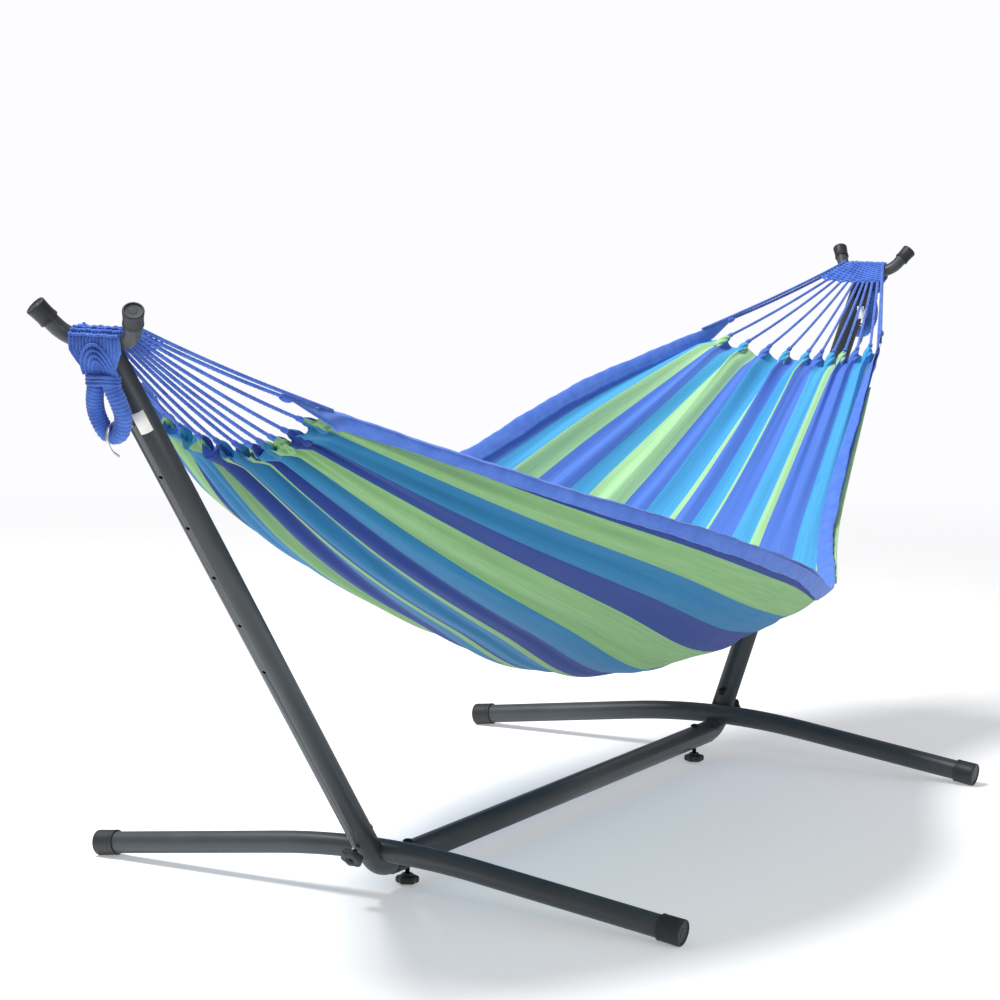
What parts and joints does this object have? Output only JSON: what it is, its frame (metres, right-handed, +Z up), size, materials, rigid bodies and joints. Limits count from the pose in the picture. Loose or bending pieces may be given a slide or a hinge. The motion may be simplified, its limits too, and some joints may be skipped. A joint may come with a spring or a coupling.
{
  "type": "hammock on stand",
  "caption": "Free-standing tubular steel stand with a striped fabric hammock hung by cord fans between two horned arms.",
  "frame": {"origin": "on the floor under the middle of the stand", "axes": "+X along the stand to its right-hand end, +Z up, front towards -Y"},
  "size_m": [2.9968, 1.1204, 1.0183],
  "materials": {
    "charcoal_paint": "satin charcoal powder coat",
    "black_plastic": "satin moulded black",
    "black_steel": "blackened steel",
    "zinc_steel": "bright zinc plate",
    "white_label": "matt blank label",
    "royal_cord": "twisted cotton cord",
    "striped_cotton": "striped woven cotton"
  },
  "bodies": {
    "stand": {"centre_beam": "charcoal_paint", "size_label": "white_label", "elbow_left": "charcoal_paint", "leg_left": "charcoal_paint", "arm_left": "charcoal_paint", "cradle_left": "charcoal_paint", "beam_bolt_left": "black_steel", "arm_bolt_left": "black_steel", "hook_left": "zinc_steel", "harness_left": "royal_cord", "hanging_loop_left": "royal_cord", "leg_cap_left_front": "black_plastic", "horn_cap_left_front": "black_plastic", "leg_cap_left_back": "black_plastic", "horn_cap_left_back": "black_plastic", "elbow_right": "charcoal_paint", "leg_right": "charcoal_paint", "arm_right": "charcoal_paint", "cradle_right": "charcoal_paint", "beam_bolt_right": "black_steel", "arm_bolt_right": "black_steel", "hook_right": "zinc_steel", "harness_right": "royal_cord", "hanging_loop_right": "royal_cord", "leg_cap_right_front": "black_plastic", "horn_cap_right_front": "black_plastic", "leg_cap_right_back": "black_plastic", "horn_cap_right_back": "black_plastic"},
    "hammock": {"bed": "striped_cotton", "cord_left_01": "royal_cord", "cord_left_02": "royal_cord", "cord_left_03": "royal_cord", "cord_left_04": "royal_cord", "cord_left_05": "royal_cord", "cord_left_06": "royal_cord", "cord_left_07": "royal_cord", "cord_left_08": "royal_cord", "cord_left_09": "royal_cord", "cord_left_10": "royal_cord", "cord_left_11": "royal_cord", "cord_left_12": "royal_cord", "cord_right_01": "royal_cord", "cord_right_02": "royal_cord", "cord_right_03": "royal_cord", "cord_right_04": "royal_cord", "cord_right_05": "royal_cord", "cord_right_06": "royal_cord", "cord_right_07": "royal_cord", "cord_right_08": "royal_cord", "cord_right_09": "royal_cord", "cord_right_10": "royal_cord", "cord_right_11": "royal_cord", "cord_right_12": "royal_cord"},
    "beam_knob_left": {"beam_knob_left": "black_plastic"},
    "beam_knob_right": {"beam_knob_right": "black_plastic"},
    "arm_knob_left": {"arm_knob_left": "black_plastic"},
    "arm_knob_right": {"arm_knob_right": "black_plastic"}
  },
  "joints": [
    {"name": "hammock_swing", "type": "hinge", "parent": "stand", "child": "hammock", "pos_m": [0, 0, 0.969], "axis": [1, 0, 0], "range_deg": [-20, 20]},
    {"name": "beam_knob_left_turn", "type": "hinge", "parent": "stand", "child": "beam_knob_left", "pos_m": [-0.5765, 0, 0.02], "axis": [0, 0, -1], "continuous": true},
    {"name": "arm_knob_left_turn", "type": "hinge", "parent": "stand", "child": "arm_knob_left", "pos_m": [-0.75549, 0, 0.08555], "axis": [-0.7621, 0, -0.6475], "continuous": true},
    {"name": "beam_knob_right_turn", "type": "hinge", "parent": "stand", "child": "beam_knob_right", "pos_m": [0.5765, 0, 0.02], "axis": [0, 0, -1], "continuous": true},
    {"name": "arm_knob_right_turn", "type": "hinge", "parent": "stand", "child": "arm_knob_right", "pos_m": [0.75549, 0, 0.08555], "axis": [0.7621, 0, -0.6475], "continuous": true}
  ]
}
